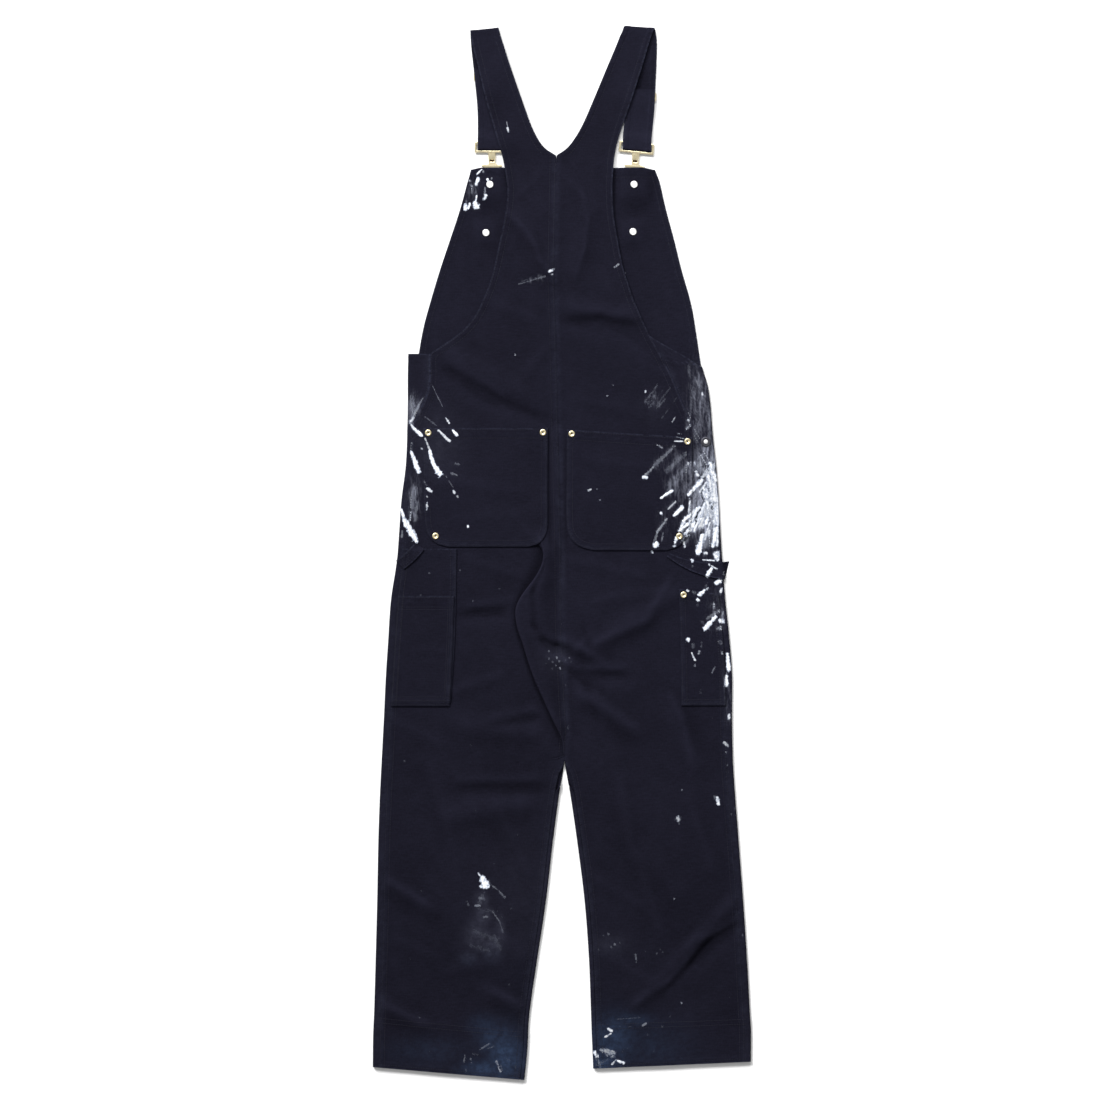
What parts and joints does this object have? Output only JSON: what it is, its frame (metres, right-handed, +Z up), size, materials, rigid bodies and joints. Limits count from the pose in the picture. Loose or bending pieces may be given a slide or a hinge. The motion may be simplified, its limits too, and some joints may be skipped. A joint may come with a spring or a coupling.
{
  "type": "bib overalls",
  "caption": "Paint spattered dark duck canvas bib overalls lying flat, face down, with high back, hooked shoulder straps, patch pockets and tool pockets.",
  "frame": {"origin": "middle of the garment's footprint, on the surface it lies on", "axes": "+Z up from the surface, towards the back of the garment; +Y towards the shoulders; +X across it, towards the wearer's right"},
  "size_m": [0.5284, 1.4744, 0.0115],
  "materials": {
    "front_left": "worn cotton duck, matt, with dried white paint",
    "front_right": "worn cotton duck, matt, with dried white paint",
    "bib": "worn cotton duck, matt, with dried white paint",
    "back_left": "worn cotton duck, matt, with dried white paint",
    "back_right": "worn cotton duck, matt, with dried white paint",
    "strap_left": "worn cotton duck, matt, with dried white paint",
    "strap_right": "worn cotton duck, matt, with dried white paint",
    "back_pocket_left": "worn cotton duck, matt, with dried white paint",
    "back_pocket_right": "worn cotton duck, matt, with dried white paint",
    "tool_pocket_left_tall": "worn cotton duck, matt, with dried white paint",
    "tool_pocket_left_short": "worn cotton duck, matt, with dried white paint",
    "tool_pocket_right": "worn cotton duck, matt, with dried white paint",
    "hammer_loop_left": "worn cotton duck, matt, with dried white paint",
    "tool_band_right": "worn cotton duck, matt, with dried white paint",
    "buckle_left": "dull worn brass",
    "buckle_right": "dull worn brass",
    "slider_left": "dull worn brass",
    "slider_right": "dull worn brass",
    "bib_button_left_upper": "dull worn brass",
    "bib_button_left_lower": "dull worn brass",
    "bib_button_right_upper": "dull worn brass",
    "bib_button_right_lower": "dull worn brass",
    "side_button_right": "dull worn brass",
    "rivet_pocket_left_a": "dull worn brass",
    "rivet_pocket_left_b": "dull worn brass",
    "rivet_pocket_left_c": "dull worn brass",
    "rivet_pocket_right_a": "dull worn brass",
    "rivet_pocket_right_b": "dull worn brass",
    "rivet_pocket_right_c": "dull worn brass",
    "rivet_tool_right": "dull worn brass",
    "button_cap_left_upper": "nickel plated, dulled",
    "button_cap_left_lower": "nickel plated, dulled",
    "button_cap_right_upper": "nickel plated, dulled",
    "button_cap_right_lower": "nickel plated, dulled"
  },
  "bodies": {
    "root": {"front_left": "front_left", "front_right": "front_right", "bib": "bib", "back_left": "back_left", "back_right": "back_right", "strap_left": "strap_left", "strap_right": "strap_right", "back_pocket_left": "back_pocket_left", "back_pocket_right": "back_pocket_right", "tool_pocket_left_tall": "tool_pocket_left_tall", "tool_pocket_left_short": "tool_pocket_left_short", "tool_pocket_right": "tool_pocket_right", "hammer_loop_left": "hammer_loop_left", "tool_band_right": "tool_band_right", "buckle_left": "buckle_left", "buckle_right": "buckle_right", "slider_left": "slider_left", "slider_right": "slider_right", "bib_button_left_upper": "bib_button_left_upper", "bib_button_left_lower": "bib_button_left_lower", "bib_button_right_upper": "bib_button_right_upper", "bib_button_right_lower": "bib_button_right_lower", "side_button_right": "side_button_right", "rivet_pocket_left_a": "rivet_pocket_left_a", "rivet_pocket_left_b": "rivet_pocket_left_b", "rivet_pocket_left_c": "rivet_pocket_left_c", "rivet_pocket_right_a": "rivet_pocket_right_a", "rivet_pocket_right_b": "rivet_pocket_right_b", "rivet_pocket_right_c": "rivet_pocket_right_c", "rivet_tool_right": "rivet_tool_right", "button_cap_left_upper": "button_cap_left_upper", "button_cap_left_lower": "button_cap_left_lower", "button_cap_right_upper": "button_cap_right_upper", "button_cap_right_lower": "button_cap_right_lower"}
  },
  "joints": []
}
